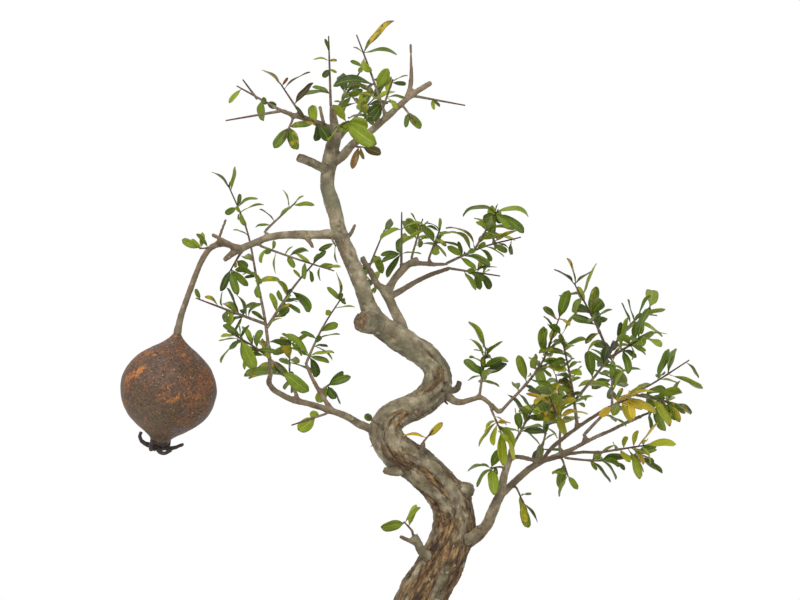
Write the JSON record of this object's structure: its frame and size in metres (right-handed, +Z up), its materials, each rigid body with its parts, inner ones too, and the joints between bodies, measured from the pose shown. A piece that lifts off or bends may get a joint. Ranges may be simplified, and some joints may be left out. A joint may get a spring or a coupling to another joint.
{
  "type": "pomegranate bonsai in a pot",
  "caption": "Pomegranate bonsai with a winding trunk, leafy sprays and a dry hanging fruit, standing in a shallow rectangular clay tray.",
  "frame": {"origin": "on the surface that the pot stands on, under the middle of the whole tree's width and depth", "axes": "+X to the right in the front view, the fruit being at the left; +Y to the back; +Z up"},
  "size_m": [0.4136, 0.21, 0.5491],
  "materials": {
    "pot_clay": "unglazed brown stoneware, fine matt grain",
    "soil_granules": "coarse dark bonsai soil with moss patches",
    "bark": "grey-olive bark, flaking tan patches, dark cracks",
    "fruit_rind": "dry leathery rind, brown with rust patches",
    "sepal": "dry curled sepals, nearly black",
    "leaf_green": "thin leaf, soft gloss above, pale rib",
    "leaf_lime": "young yellow-green leaf",
    "leaf_gold": "leaf turning yellow",
    "leaf_bronze": "leaf going brown at its edge and tip"
  },
  "bodies": {
    "root": {"pot": "pot_clay", "soil": "soil_granules", "trunk": "bark", "fruit": "fruit_rind", "calyx": "sepal", "spray_top": "leaf_green", "spray_crown_low_left": "leaf_green", "spray_crown_far_left": "leaf_green", "spray_crown_twig": "leaf_bronze", "spray_crown_droop_left": "leaf_green", "spray_crown_mid": "leaf_green", "spray_crown_second": "leaf_green", "spray_crown_bare": "leaf_green", "spray_crown_back": "leaf_green", "spray_crown_inner": "leaf_green", "spray_crown_front_left": "leaf_green", "spray_crown_front": "leaf_green", "spray_crown_under": "leaf_bronze", "spray_crown_droop_right": "leaf_green", "spray_upper_left": "leaf_green", "spray_thin_droop": "leaf_green", "spray_left_reach": "leaf_green", "spray_high_left": "leaf_green", "spray_small_droop": "leaf_green", "spray_tall_left": "leaf_green", "spray_mid_left_low": "leaf_green", "spray_mid_left_up": "leaf_green", "spray_mid_left_under": "leaf_green", "spray_mid_left_inner": "leaf_green", "spray_mid_left_behind": "leaf_green", "spray_trunk_sprout": "leaf_lime", "spray_trunk_gold": "leaf_gold", "spray_trunk_left": "leaf_green", "spray_second_upright": "leaf_green", "spray_second_lean": "leaf_green", "spray_second_mid": "leaf_green", "spray_second_long": "leaf_green", "spray_second_fork": "leaf_green", "spray_second_arch": "leaf_green", "spray_second_back": "leaf_green", "spray_right_tall": "leaf_green", "spray_right_rise": "leaf_green", "spray_right_hang": "leaf_lime", "spray_right_front": "leaf_green", "spray_right_far": "leaf_green", "spray_right_low_front": "leaf_lime", "spray_right_low_back": "leaf_green", "spray_right_back_end": "leaf_green", "spray_right_front_end": "leaf_gold", "spray_right_inner_hang": "leaf_green", "spray_right_under": "leaf_green", "spray_right_under_near": "leaf_green", "spray_right_core_up": "leaf_green", "spray_right_core_back": "leaf_green", "spray_right_core_mid": "leaf_green", "spray_right_core_front": "leaf_gold"}
  },
  "joints": []
}
